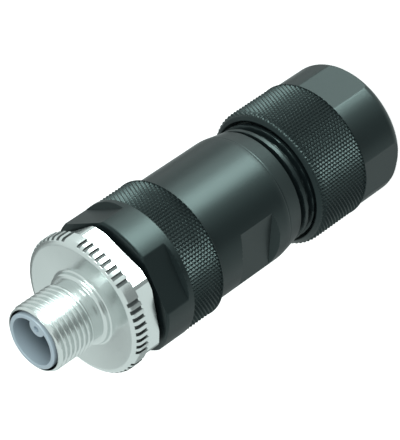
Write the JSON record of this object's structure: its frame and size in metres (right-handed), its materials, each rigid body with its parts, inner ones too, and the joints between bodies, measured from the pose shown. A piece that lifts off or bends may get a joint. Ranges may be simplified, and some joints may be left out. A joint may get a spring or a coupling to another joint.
{
  "type": "m12 connector",
  "caption": "Straight circular cable connector with an outside-threaded coupling screw, keyed pin socket, screw-joined housing and a cable gland nut with clamping cage.",
  "frame": {"origin": "centre of the gland nut's rear face, on which the connector stands", "axes": "+Z along the connector's axis towards the mating end, +X towards the near side of the pictured view"},
  "size_m": [0.0256, 0.0256, 0.0764],
  "materials": {
    "housing_plastic": "black glass-filled polyamide, fine satin moulding",
    "cage_plastic": "dark grey polyamide, smooth moulding",
    "carrier_plastic": "blue-grey thermoplastic polyester, satin moulding",
    "terminal_plastic": "grey polyamide, smooth moulding",
    "nickel_plate": "turned brass, bright satin nickel plating",
    "spring_steel": "phosphated spring steel",
    "seal_rubber": "moulded nitrile rubber",
    "zinc_plated_steel": "zinc-plated steel",
    "gold_plate": "turned brass, gold plating",
    "clamp_brass": "bright milled brass"
  },
  "bodies": {
    "gland_nut": {"gland_nut": "housing_plastic"},
    "clamping_cage": {"clamping_cage": "cage_plastic"},
    "housing": {"housing": "housing_plastic", "cable_seal": "seal_rubber", "spacer_sleeve": "cage_plastic", "housing_o_ring": "seal_rubber", "front_collar": "housing_plastic", "retaining_ring": "spring_steel", "contact_carrier": "carrier_plastic", "carrier_o_ring": "seal_rubber", "terminal_block": "terminal_plastic", "terminal_screws": "zinc_plated_steel", "pin_1": "gold_plate", "pin_2": "gold_plate", "pin_3": "gold_plate", "pin_earth": "gold_plate", "wire_clamp_1": "clamp_brass", "wire_clamp_2": "clamp_brass", "wire_clamp_3": "clamp_brass", "wire_clamp_4": "clamp_brass"},
    "coupling_screw": {"coupling_screw": "nickel_plate"}
  },
  "joints": [
    {"name": "gland_turn", "type": "hinge", "parent": "gland_nut", "child": "clamping_cage", "pos_m": [0, 0, 0.006], "axis": [0, 0, 1], "range_deg": [-340, 1440]},
    {"name": "gland_advance", "type": "slide", "parent": "clamping_cage", "child": "housing", "axis": [0, 0, 1], "range_m": [-0.00188, 0.00798]},
    {"name": "coupling_turn", "type": "hinge", "parent": "housing", "child": "coupling_screw", "pos_m": [0, 0, 0.062], "axis": [0, 0, 1], "continuous": true}
  ],
  "couplings": [
    {"joint": "gland_turn", "follows": "gland_advance", "rad_per_m": 3141.6}
  ]
}
